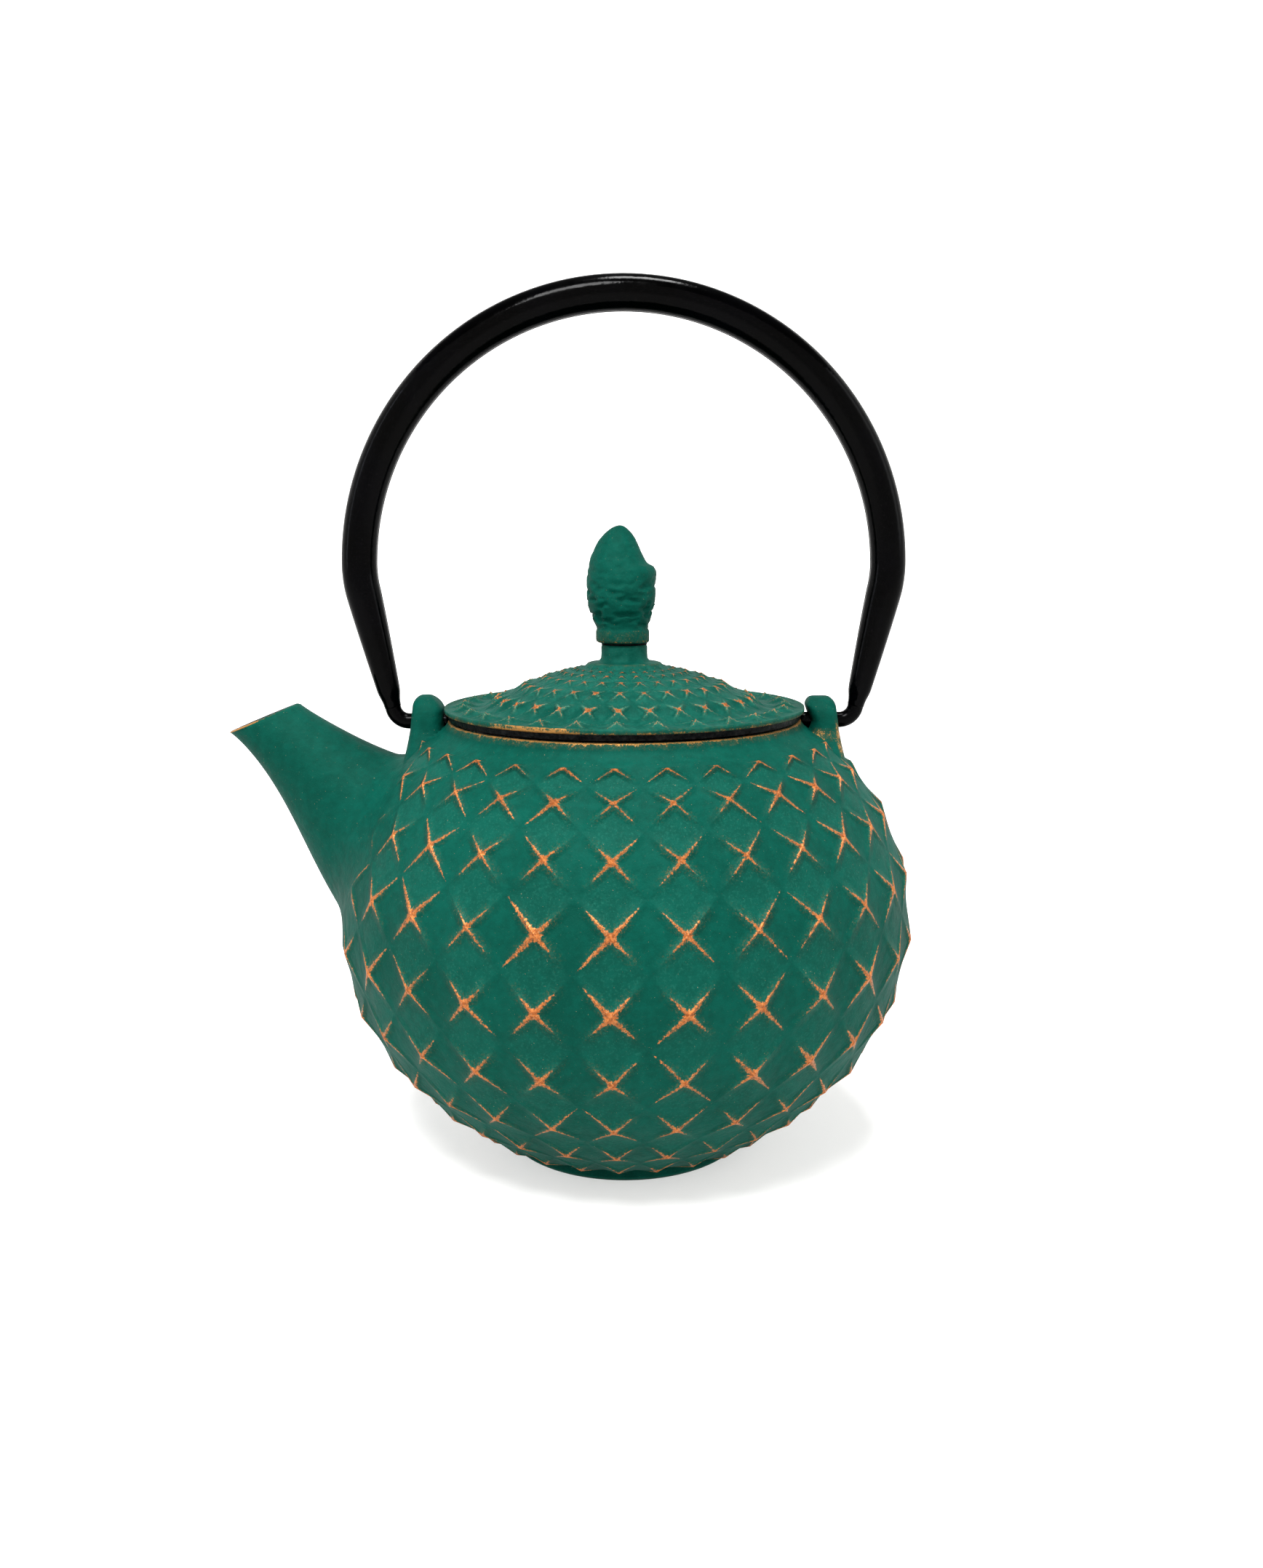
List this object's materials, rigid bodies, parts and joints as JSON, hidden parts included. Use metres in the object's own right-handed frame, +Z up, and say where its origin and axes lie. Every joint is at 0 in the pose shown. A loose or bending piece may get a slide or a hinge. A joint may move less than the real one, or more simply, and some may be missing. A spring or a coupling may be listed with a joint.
{
  "type": "teapot",
  "caption": "Round cast iron teapot with a lattice of raised stars, a straight tapering spout, a lifting lid with a bud-shaped knob, a swinging tube bail and a hanging tea infuser.",
  "frame": {"origin": "centre of the flat foot, on the bowl's axis", "axes": "+Z up along the bowl's axis, -X towards the spout, X also the axis of the handle's hooks, +Y to the back"},
  "size_m": [0.178, 0.15, 0.224],
  "materials": {
    "pot_enamelled_iron": "matte green paint with copper dry-brushed on the relief, black enamel inside",
    "lid_enamelled_iron": "matte green paint with copper on the relief and edge, black enamel underneath",
    "knob_iron": "matte green paint on rough iron",
    "screw_steel": "zinc plated",
    "washer_steel": "zinc plated",
    "handle_black_paint": "satin black paint",
    "hook_black_paint": "black paint, worn",
    "infuser_stainless": "brushed",
    "infuser_mesh": "woven wire"
  },
  "bodies": {
    "pot": {"pot_casting": "pot_enamelled_iron"},
    "handle": {"handle_tube": "handle_black_paint", "handle_hook_left": "hook_black_paint", "handle_hook_right": "hook_black_paint"},
    "infuser": {"infuser_rim": "infuser_stainless", "infuser_mesh_wall": "infuser_mesh", "infuser_mesh_base": "infuser_mesh", "infuser_base_ring": "infuser_stainless"},
    "lid": {"lid_casting": "lid_enamelled_iron", "lid_knob": "knob_iron", "knob_screw": "screw_steel", "knob_washer": "washer_steel"}
  },
  "joints": [
    {"name": "handle_hinge", "type": "hinge", "parent": "pot", "child": "handle", "pos_m": [0, 0, 0.1131], "axis": [1, 0, 0], "range_deg": [-115, 115]},
    {"name": "infuser_lift", "type": "slide", "parent": "pot", "child": "infuser", "axis": [0, 0, 1], "range_m": [0, 0.048]},
    {"name": "lid_lift", "type": "slide", "parent": "infuser", "child": "lid", "axis": [0, 0, 1], "range_m": [0, 0.048]}
  ]
}
